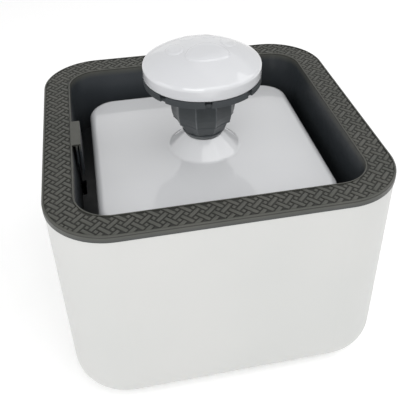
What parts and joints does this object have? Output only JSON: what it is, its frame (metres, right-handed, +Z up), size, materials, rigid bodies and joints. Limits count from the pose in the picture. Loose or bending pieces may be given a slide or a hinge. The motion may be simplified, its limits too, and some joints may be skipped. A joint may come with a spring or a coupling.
{
  "type": "pet water fountain",
  "caption": "Square tub water fountain with a textured rim tray, a drinking plate, a fluted nozzle under a domed cap, a filter cartridge and a pump.",
  "frame": {"origin": "on the floor under the middle of the tub", "axes": "+Z up; -Y is the front of the fountain; the cord outlet is on the -X side"},
  "size_m": [0.18, 0.18, 0.1708],
  "materials": {
    "tub_plastic": "satin moulded off-white",
    "foot_rubber": "matte",
    "grommet_rubber": "matte",
    "tray_plastic": "woven moulded texture",
    "plate_plastic": "polished white",
    "seal_rubber": "matte",
    "nozzle_plastic": "satin dark grey",
    "cap_plastic": "polished white",
    "filter_plastic": "translucent white",
    "fleece": "needled fleece",
    "carbon": "carbon granules",
    "riser_plastic": "smooth",
    "pump_plastic": "spark-eroded black",
    "dial_plastic": "matte grey",
    "impeller_plastic": "smooth",
    "magnet": "ground ferrite",
    "shaft_ceramic": "ground ceramic",
    "bush_rubber": "matte",
    "core_steel": "laminated",
    "copper": "enamelled winding",
    "potting": "cast resin",
    "gland_rubber": "matte",
    "cup_rubber": "soft clear",
    "foam": "open-cell foam"
  },
  "bodies": {
    "tub": {"tub": "tub_plastic", "foot_pads": "foot_rubber", "cord_grommet": "grommet_rubber", "riser_tube": "riser_plastic", "pump_housing": "pump_plastic", "pump_front_cover": "pump_plastic", "pump_shaft": "shaft_ceramic", "shaft_bushes": "bush_rubber", "stator_core": "core_steel", "stator_coil": "copper", "pump_potting": "potting", "pump_cord_gland": "gland_rubber", "suction_cups": "cup_rubber", "prefilter_foam": "foam"},
    "tray": {"rim_tray": "tray_plastic"},
    "plate": {"drinking_plate": "plate_plastic"},
    "filter": {"filter_case": "filter_plastic", "filter_lid": "filter_plastic", "filter_fleece_top": "fleece", "filter_carbon": "carbon", "filter_fleece_bottom": "fleece"},
    "nozzle": {"nozzle_cup": "nozzle_plastic", "nozzle_seal": "seal_rubber"},
    "cap": {"dome_cap": "cap_plastic"},
    "rotor": {"impeller": "impeller_plastic", "rotor_magnet": "magnet"},
    "dial": {"flow_dial": "dial_plastic"}
  },
  "joints": [
    {"name": "tray_lift", "type": "slide", "parent": "tub", "child": "tray", "axis": [0, 0, 1], "range_m": [0, 0.12]},
    {"name": "plate_lift", "type": "slide", "parent": "tray", "child": "plate", "axis": [0, 0, 1], "range_m": [0, 0.08]},
    {"name": "filter_lift", "type": "slide", "parent": "tray", "child": "filter", "axis": [0, 0, 1], "range_m": [0, 0.04]},
    {"name": "nozzle_lift", "type": "slide", "parent": "plate", "child": "nozzle", "axis": [0, 0, 1], "range_m": [0, 0.06]},
    {"name": "cap_lift", "type": "slide", "parent": "nozzle", "child": "cap", "axis": [0, 0, 1], "range_m": [0, 0.05]},
    {"name": "impeller_spin", "type": "hinge", "parent": "tub", "child": "rotor", "pos_m": [0, 0, 0.0258], "axis": [0, 1, 0], "continuous": true},
    {"name": "flow_adjust", "type": "hinge", "parent": "tub", "child": "dial", "pos_m": [0, -0.016, 0.0258], "axis": [0, 1, 0], "range_deg": [0, 60]}
  ],
  "couplings": [
    {"joint": "filter_lift", "follows": "plate_lift", "ratio": 0.5}
  ]
}
